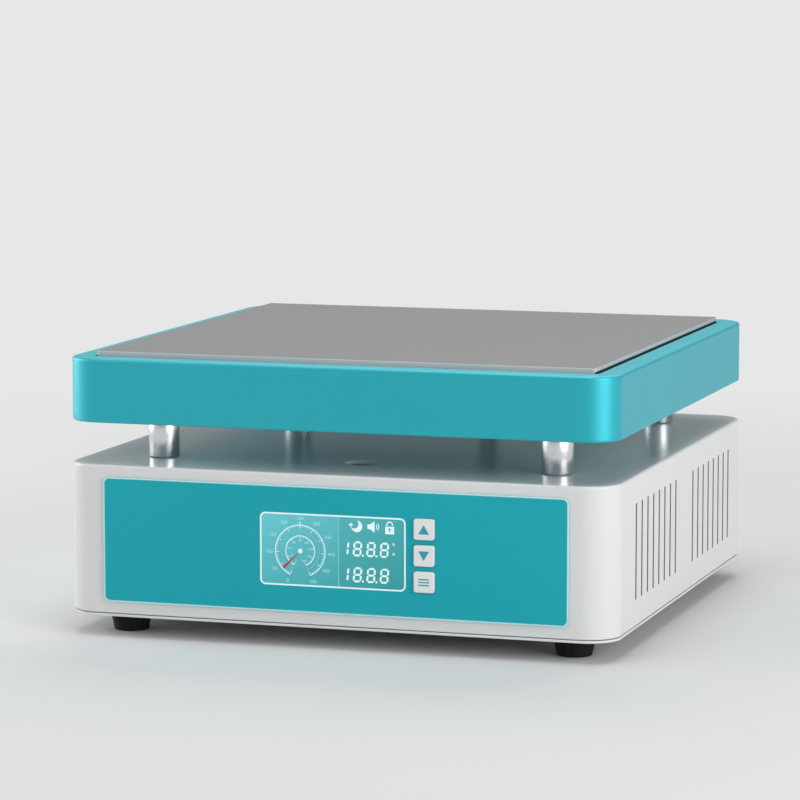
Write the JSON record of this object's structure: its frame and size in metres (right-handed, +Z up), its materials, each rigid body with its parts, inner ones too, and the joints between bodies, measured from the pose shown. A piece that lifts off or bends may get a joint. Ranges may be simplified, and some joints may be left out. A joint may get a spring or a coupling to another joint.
{
  "type": "pcb preheater",
  "caption": "Benchtop preheater for circuit boards: a square aluminium hot plate in a painted shroud, on posts above a low control box with display, keys and vent slots.",
  "frame": {"origin": "on the bench, under the middle of the object's bounding box", "axes": "+Z up out of the hot plate, +Y to the back with the mains inlet, -Y to the front with the display, +X to the right seen from the front"},
  "size_m": [0.22, 0.2288, 0.1104],
  "materials": {
    "white_coat": "satin white powder coat",
    "teal_paint": "satin teal enamel",
    "teal_film": "printed polyester film with a thin pale line",
    "plate_aluminium": "fine-ground, slightly matt",
    "post_tube": "polished tube",
    "zinc_steel": "zinc plated",
    "foot_rubber": "moulded matt black",
    "black_plastic": "moulded black",
    "key_plastic": "moulded off-white",
    "window": "clear tinted window",
    "display_glass": "backlit display",
    "board_laminate": "green solder mask",
    "insulation": "pressed ceramic fibre",
    "pin_brass": "nickel-plated brass",
    "fuse_glass": "clear tube with end caps",
    "wire_white": "silicone insulation",
    "wire_brown": "brown insulation",
    "wire_blue": "blue insulation",
    "wire_green": "green insulation",
    "transformer_iron": "lacquered laminations"
  },
  "bodies": {
    "base": {"base_shell": "white_coat", "bottom_plate": "white_coat", "foot_front_left": "foot_rubber", "foot_front_right": "foot_rubber", "foot_rear_left": "foot_rubber", "foot_rear_right": "foot_rubber", "foot_screw_front_left": "zinc_steel", "foot_screw_front_right": "zinc_steel", "foot_screw_rear_left": "zinc_steel", "foot_screw_rear_right": "zinc_steel", "post_front_left": "post_tube", "post_front_right": "post_tube", "post_rear_left": "post_tube", "post_rear_right": "post_tube", "post_bolt_front_left": "zinc_steel", "post_bolt_front_right": "zinc_steel", "post_bolt_rear_left": "zinc_steel", "post_bolt_rear_right": "zinc_steel", "shroud": "teal_paint", "shroud_floor": "zinc_steel", "shroud_screw_front_left": "zinc_steel", "shroud_screw_front_right": "zinc_steel", "shroud_screw_rear_left": "zinc_steel", "shroud_screw_rear_right": "zinc_steel", "heating_plate": "plate_aluminium", "heater_element": "zinc_steel", "clamp_plate": "zinc_steel", "insulation_pad": "insulation", "sensor_probe": "zinc_steel", "lead_bush": "black_plastic", "control_overlay": "teal_film", "display_lens": "window", "lcd_module": "display_glass", "display_board": "board_laminate", "inlet_housing": "black_plastic", "inlet_pin_live": "pin_brass", "inlet_pin_neutral": "pin_brass", "inlet_pin_earth": "pin_brass", "inlet_screw_left": "zinc_steel", "inlet_screw_right": "zinc_steel", "switch_body": "black_plastic", "power_board": "board_laminate", "transformer": "transformer_iron", "heat_sink": "plate_aluminium", "triac": "black_plastic", "terminal_block": "board_laminate", "heater_lead_left": "wire_white", "heater_lead_right": "wire_white", "sensor_lead": "wire_white", "display_cable": "black_plastic", "live_lead": "wire_brown", "switched_live_lead": "wire_brown", "neutral_lead": "wire_blue", "earth_lead": "wire_green"},
    "key_up": {"button_up": "key_plastic"},
    "key_down": {"button_down": "key_plastic"},
    "key_set": {"button_set": "key_plastic"},
    "switch_rocker": {"rocker": "black_plastic"},
    "drawer": {"fuse_drawer": "black_plastic", "fuse": "fuse_glass"}
  },
  "joints": [
    {"name": "key_up_press", "type": "slide", "parent": "base", "child": "key_up", "axis": [0, 1, 0], "range_m": [0, 0.0005], "stiffness_N_per_m": 800},
    {"name": "key_down_press", "type": "slide", "parent": "base", "child": "key_down", "axis": [0, 1, 0], "range_m": [0, 0.0005], "stiffness_N_per_m": 800},
    {"name": "key_set_press", "type": "slide", "parent": "base", "child": "key_set", "axis": [0, 1, 0], "range_m": [0, 0.0005], "stiffness_N_per_m": 800},
    {"name": "rocker_tip", "type": "hinge", "parent": "base", "child": "switch_rocker", "pos_m": [0.018, 0.1091, 0.0385], "axis": [1, 0, 0], "range_deg": [0, 20]},
    {"name": "fuse_drawer_slide", "type": "slide", "parent": "base", "child": "drawer", "axis": [0, 1, 0], "range_m": [0, 0.018]}
  ]
}
